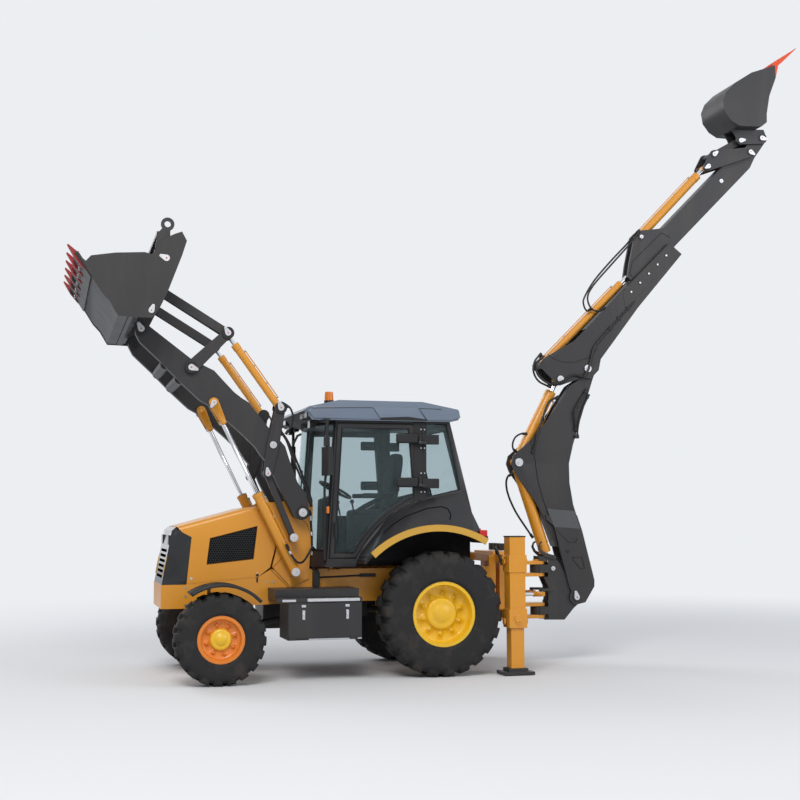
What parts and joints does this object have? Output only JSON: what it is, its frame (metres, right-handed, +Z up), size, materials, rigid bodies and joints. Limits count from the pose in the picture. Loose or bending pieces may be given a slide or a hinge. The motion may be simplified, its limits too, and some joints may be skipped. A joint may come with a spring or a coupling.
{
  "type": "backhoe loader",
  "caption": "Backhoe loader with an enclosed cab, a parallel-lift loader with a four-in-one bucket and a side-shift digger with a telescoping dipper.",
  "frame": {"origin": "on the ground below the middle of the overall length, on the machine's centre plane", "axes": "+X runs forward to the loader bucket, +Y to the machine's left, +Z up"},
  "size_m": [8.842, 2.338, 7.548],
  "materials": {
    "yellow_paint": "semi-gloss",
    "grey_paint": "satin",
    "tyre": "matte",
    "black_trim": "matte",
    "roof": "satin",
    "glass": "gloss",
    "rod": "polished",
    "pin": "brushed",
    "seat": "matte"
  },
  "bodies": {
    "chassis": {"main_frame": "yellow_paint", "engine_block": "grey_paint", "driveline": "grey_paint", "front_axle": "yellow_paint", "rear_axle": "yellow_paint", "rear_frame": "yellow_paint", "cab_frame": "grey_paint", "cab_roof": "roof", "cab_glass": "glass", "operator_seat": "seat", "steering_console": "black_trim", "fuel_tank": "black_trim", "toolbox": "grey_paint", "lamps": "black_trim"},
    "hood": {"hood": "yellow_paint", "grille": "black_trim"},
    "arms": {"loader_arms": "grey_paint"},
    "toolbox_lid": {"toolbox_lid": "grey_paint"},
    "door_left": {"door_left": "grey_paint"},
    "door_right": {"door_right": "grey_paint"},
    "knuckle_left": {"knuckle_left": "yellow_paint"},
    "knuckle_right": {"knuckle_right": "yellow_paint"},
    "wheel_front_left": {"wheel_front_left": "tyre"},
    "wheel_front_right": {"wheel_front_right": "tyre"},
    "wheel_rear_left": {"wheel_rear_left": "tyre"},
    "wheel_rear_right": {"wheel_rear_right": "tyre"},
    "stabilizer_left": {"stabilizer_left": "yellow_paint"},
    "stabilizer_right": {"stabilizer_right": "yellow_paint"},
    "lift_barrels": {"lift_barrels": "yellow_paint"},
    "lift_rods": {"lift_rods": "rod"},
    "level_links": {"level_links": "grey_paint"},
    "rear_cranks": {"rear_cranks": "grey_paint"},
    "tilt_pins": {"tilt_pins": "pin"},
    "tilt_barrels": {"tilt_barrels": "yellow_paint"},
    "tilt_rods": {"tilt_rods": "rod"},
    "crank_pins": {"crank_pins": "pin"},
    "front_cranks": {"front_cranks": "grey_paint"},
    "link_pins": {"link_pins": "pin"},
    "bucket_links": {"bucket_links": "grey_paint"},
    "bucket_pins": {"bucket_pins": "pin"},
    "bucket_back": {"bucket_back": "grey_paint"},
    "bucket_jaw": {"bucket_jaw": "grey_paint"},
    "jaw_barrels": {"jaw_barrels": "yellow_paint"},
    "jaw_rods": {"jaw_rods": "rod"},
    "carriage": {"carriage": "yellow_paint"},
    "swing_rod_left": {"swing_rod_left": "rod"},
    "swing_rod_right": {"swing_rod_right": "rod"},
    "swing_post": {"swing_post": "grey_paint"},
    "boom": {"boom": "grey_paint"},
    "boom_barrel": {"boom_barrel": "yellow_paint"},
    "boom_rod": {"boom_rod": "rod"},
    "crowd_barrel": {"crowd_barrel": "yellow_paint"},
    "crowd_rod": {"crowd_rod": "rod"},
    "dipper_outer": {"dipper_outer": "grey_paint"},
    "dipper_inner": {"dipper_inner": "grey_paint"},
    "hoe_barrel": {"hoe_barrel": "yellow_paint"},
    "hoe_rod": {"hoe_rod": "rod"},
    "hoe_lever": {"hoe_lever": "grey_paint"},
    "hoe_link": {"hoe_link": "grey_paint"},
    "hoe_bucket": {"hoe_bucket": "grey_paint"}
  },
  "joints": [
    {"name": "steer_left", "type": "hinge", "parent": "chassis", "child": "knuckle_left", "pos_m": [2.847, 0.745, 0.464], "axis": [0, 0, 1], "range_deg": [-32, 32]},
    {"name": "front_wheel_left_spin", "type": "hinge", "parent": "knuckle_left", "child": "wheel_front_left", "pos_m": [2.847, 0.975, 0.464], "axis": [0, 1, 0], "continuous": true},
    {"name": "rear_wheel_left_spin", "type": "hinge", "parent": "chassis", "child": "wheel_rear_left", "pos_m": [0.477, 0.812, 0.66], "axis": [0, 1, 0], "continuous": true},
    {"name": "door_left_hinge", "type": "hinge", "parent": "chassis", "child": "door_left", "pos_m": [0.682, 0.83, 2], "axis": [0, 0, 1], "range_deg": [0, 75]},
    {"name": "stabilizer_left_slide", "type": "slide", "parent": "chassis", "child": "stabilizer_left", "axis": [0, 0, 1], "range_m": [-0.1, 0.4]},
    {"name": "steer_right", "type": "hinge", "parent": "chassis", "child": "knuckle_right", "pos_m": [2.847, -0.745, 0.464], "axis": [0, 0, 1], "range_deg": [-32, 32]},
    {"name": "front_wheel_right_spin", "type": "hinge", "parent": "knuckle_right", "child": "wheel_front_right", "pos_m": [2.847, -0.975, 0.464], "axis": [0, 1, 0], "continuous": true},
    {"name": "rear_wheel_right_spin", "type": "hinge", "parent": "chassis", "child": "wheel_rear_right", "pos_m": [0.477, -0.812, 0.66], "axis": [0, 1, 0], "continuous": true},
    {"name": "door_right_hinge", "type": "hinge", "parent": "chassis", "child": "door_right", "pos_m": [0.682, -0.83, 2], "axis": [0, 0, -1], "range_deg": [0, 75]},
    {"name": "stabilizer_right_slide", "type": "slide", "parent": "chassis", "child": "stabilizer_right", "axis": [0, 0, 1], "range_m": [-0.1, 0.4]},
    {"name": "hood_hinge", "type": "hinge", "parent": "chassis", "child": "hood", "pos_m": [2.361, 0, 1.76], "axis": [0, -1, 0], "range_deg": [0, 45]},
    {"name": "toolbox_lid_hinge", "type": "hinge", "parent": "chassis", "child": "toolbox_lid", "pos_m": [1.767, 1.056, 0.44], "axis": [-1, 0, 0], "range_deg": [0, 90]},
    {"name": "lift", "type": "hinge", "parent": "chassis", "child": "arms", "pos_m": [1.924, 0, 1.735], "axis": [0, 1, 0], "range_deg": [0, 80]},
    {"name": "bucket_tilt", "type": "hinge", "parent": "bucket_pins", "child": "bucket_back", "pos_m": [3.649, 0, 3.647], "axis": [0, -1, 0], "range_deg": [-96, 0]},
    {"name": "jaw_open", "type": "hinge", "parent": "bucket_back", "child": "bucket_jaw", "pos_m": [3.444, 0, 4.304], "axis": [0, 1, 0], "range_deg": [-60, 0]},
    {"name": "side_shift", "type": "slide", "parent": "chassis", "child": "carriage", "axis": [0, 1, 0], "range_m": [-0.5, 0.5]},
    {"name": "swing", "type": "hinge", "parent": "carriage", "child": "swing_post", "pos_m": [-0.973, 0, 0.799], "axis": [0, 0, 1], "range_deg": [-90, 90]},
    {"name": "boom_lower", "type": "hinge", "parent": "swing_post", "child": "boom", "pos_m": [-1.413, 0, 0.752], "axis": [0, -1, 0], "range_deg": [0, 95]},
    {"name": "dipper_crowd", "type": "hinge", "parent": "boom", "child": "dipper_outer", "pos_m": [-1.593, 0, 3.431], "axis": [0, -1, 0], "range_deg": [0, 115]},
    {"name": "dipper_extend", "type": "slide", "parent": "dipper_outer", "child": "dipper_inner", "axis": [-0.7096, 0, 0.7046], "range_m": [0, 1.1]},
    {"name": "bucket_curl", "type": "hinge", "parent": "dipper_inner", "child": "hoe_bucket", "pos_m": [-4.00262, 0, 6.4073], "axis": [0, -1, 0], "range_deg": [0, 165]},
    {"name": "crank_pin_turn", "type": "hinge", "parent": "arms", "child": "crank_pins", "pos_m": [3.125, 0, 3.257], "axis": [0, 1, 0], "range_deg": [-68.03, 0.5]},
    {"name": "bucket_pin_turn", "type": "hinge", "parent": "arms", "child": "bucket_pins", "pos_m": [3.649, 0, 3.647], "axis": [0, 1, 0], "range_deg": [-64.1, 0.5]},
    {"name": "rear_crank_turn", "type": "hinge", "parent": "arms", "child": "rear_cranks", "pos_m": [2.251, 0, 2.452], "axis": [0, 1, 0], "range_deg": [-75.58, 0.5]},
    {"name": "level_link_turn", "type": "hinge", "parent": "chassis", "child": "level_links", "pos_m": [2.019, 0, 1.47], "axis": [0, 1, 0], "range_deg": [-0.5, 86.67]},
    {"name": "tilt_pin_turn", "type": "hinge", "parent": "rear_cranks", "child": "tilt_pins", "pos_m": [2.171, 0, 2.85], "axis": [0, 1, 0], "range_deg": [-0.5, 93.43]},
    {"name": "link_pin_turn", "type": "hinge", "parent": "front_cranks", "child": "link_pins", "pos_m": [2.743, 0, 3.634], "axis": [0, 1, 0], "range_deg": [-0.5, 52.39]},
    {"name": "lift_barrel_turn", "type": "hinge", "parent": "chassis", "child": "lift_barrels", "pos_m": [1.997, 0, 1.106], "axis": [0, 1, 0], "range_deg": [-0.5, 69.44]},
    {"name": "lift_rod_slide", "type": "slide", "parent": "lift_barrels", "child": "lift_rods", "axis": [0.4446, 0, 0.8957], "range_m": [-0.7575, 0.002]},
    {"name": "front_crank_turn", "type": "hinge", "parent": "crank_pins", "child": "front_cranks", "pos_m": [3.125, 0, 3.257], "axis": [0, -1, 0], "range_deg": [-60.67, 0.5]},
    {"name": "bucket_link_turn", "type": "hinge", "parent": "link_pins", "child": "bucket_links", "pos_m": [2.743, 0, 3.634], "axis": [0, -1, 0], "range_deg": [-0.5, 31.89]},
    {"name": "tilt_barrel_turn", "type": "hinge", "parent": "tilt_pins", "child": "tilt_barrels", "pos_m": [2.171, 0, 2.85], "axis": [0, -1, 0], "range_deg": [-14.07, 0.5]},
    {"name": "tilt_rod_slide", "type": "slide", "parent": "tilt_barrels", "child": "tilt_rods", "axis": [0.5894, 0, 0.8078], "range_m": [-0.002, 0.4625]},
    {"name": "jaw_barrel_turn", "type": "hinge", "parent": "bucket_back", "child": "jaw_barrels", "pos_m": [3.587, 0, 3.764], "axis": [0, 1, 0], "range_deg": [-15.83, 0.5]},
    {"name": "jaw_rod_slide", "type": "slide", "parent": "jaw_barrels", "child": "jaw_rods", "axis": [-0.3444, 0, 0.9388], "range_m": [-0.1376, 0.002]},
    {"name": "swing_rod_left_slide", "type": "slide", "parent": "carriage", "child": "swing_rod_left", "axis": [1, 0, 0], "range_m": [-0.152, 0.152]},
    {"name": "swing_rod_right_slide", "type": "slide", "parent": "carriage", "child": "swing_rod_right", "axis": [1, 0, 0], "range_m": [-0.152, 0.152]},
    {"name": "boom_barrel_turn", "type": "hinge", "parent": "boom", "child": "boom_barrel", "pos_m": [-0.723, 0, 2.314], "axis": [0, -1, 0], "range_deg": [-0.5, 7.47]},
    {"name": "boom_rod_slide", "type": "slide", "parent": "boom_barrel", "child": "boom_rod", "axis": [-0.3174, 0, -0.9483], "range_m": [-0.002, 0.6146]},
    {"name": "crowd_barrel_turn", "type": "hinge", "parent": "boom", "child": "crowd_barrel", "pos_m": [-0.723, 0, 2.314], "axis": [0, -1, 0], "range_deg": [-0.5, 3.61]},
    {"name": "crowd_rod_slide", "type": "slide", "parent": "crowd_barrel", "child": "crowd_rod", "axis": [-0.4682, 0, 0.8836], "range_m": [-0.002, 0.6281]},
    {"name": "hoe_barrel_turn", "type": "hinge", "parent": "dipper_inner", "child": "hoe_barrel", "pos_m": [-2.33905, 0, 5.06536], "axis": [0, -1, 0], "range_deg": [-6.36, 0.5]},
    {"name": "hoe_rod_slide", "type": "slide", "parent": "hoe_barrel", "child": "hoe_rod", "axis": [-0.6974, 0, 0.7166], "range_m": [-0.002, 0.9466]},
    {"name": "hoe_lever_turn", "type": "hinge", "parent": "dipper_inner", "child": "hoe_lever", "pos_m": [-3.82232, 0, 6.20994], "axis": [0, -1, 0], "range_deg": [-0.5, 103.56]},
    {"name": "hoe_link_turn", "type": "hinge", "parent": "hoe_lever", "child": "hoe_link", "pos_m": [-3.32004, 0, 6.14381], "axis": [0, -1, 0], "range_deg": [-50.52, 0.5]}
  ],
  "couplings": [
    {"joint": "steer_right", "follows": "steer_left", "ratio": 1},
    {"joint": "crank_pin_turn", "follows": "lift", "ratio": -0.84411},
    {"joint": "bucket_pin_turn", "follows": "lift", "ratio": -0.79504},
    {"joint": "rear_crank_turn", "follows": "lift", "ratio": -0.93846},
    {"joint": "level_link_turn", "follows": "lift", "ratio": 1.0771},
    {"joint": "tilt_pin_turn", "follows": "lift", "ratio": 1.1616},
    {"joint": "link_pin_turn", "follows": "lift", "ratio": 0.64863},
    {"joint": "lift_barrel_turn", "follows": "lift", "ratio": 0.86176},
    {"joint": "lift_rod_slide", "follows": "lift", "m_per_rad": -0.54112},
    {"joint": "front_crank_turn", "follows": "bucket_tilt", "ratio": 0.62682},
    {"joint": "bucket_link_turn", "follows": "bucket_tilt", "ratio": -0.32695},
    {"joint": "tilt_barrel_turn", "follows": "bucket_tilt", "ratio": 0.14133},
    {"joint": "tilt_rod_slide", "follows": "bucket_tilt", "m_per_rad": -0.27485},
    {"joint": "jaw_barrel_turn", "follows": "jaw_open", "ratio": 0.25544},
    {"joint": "jaw_rod_slide", "follows": "jaw_open", "m_per_rad": 0.1295},
    {"joint": "swing_rod_left_slide", "follows": "swing", "m_per_rad": -0.095493},
    {"joint": "swing_rod_right_slide", "follows": "swing", "m_per_rad": 0.095493},
    {"joint": "boom_barrel_turn", "follows": "boom_lower", "ratio": 0.073325},
    {"joint": "boom_rod_slide", "follows": "boom_lower", "m_per_rad": 0.3695},
    {"joint": "crowd_barrel_turn", "follows": "dipper_crowd", "ratio": 0.02705},
    {"joint": "crowd_rod_slide", "follows": "dipper_crowd", "m_per_rad": 0.31192},
    {"joint": "hoe_barrel_turn", "follows": "bucket_curl", "ratio": -0.0355},
    {"joint": "hoe_rod_slide", "follows": "bucket_curl", "m_per_rad": 0.328},
    {"joint": "hoe_lever_turn", "follows": "bucket_curl", "ratio": 0.62459},
    {"joint": "hoe_link_turn", "follows": "bucket_curl", "ratio": -0.30313}
  ]
}
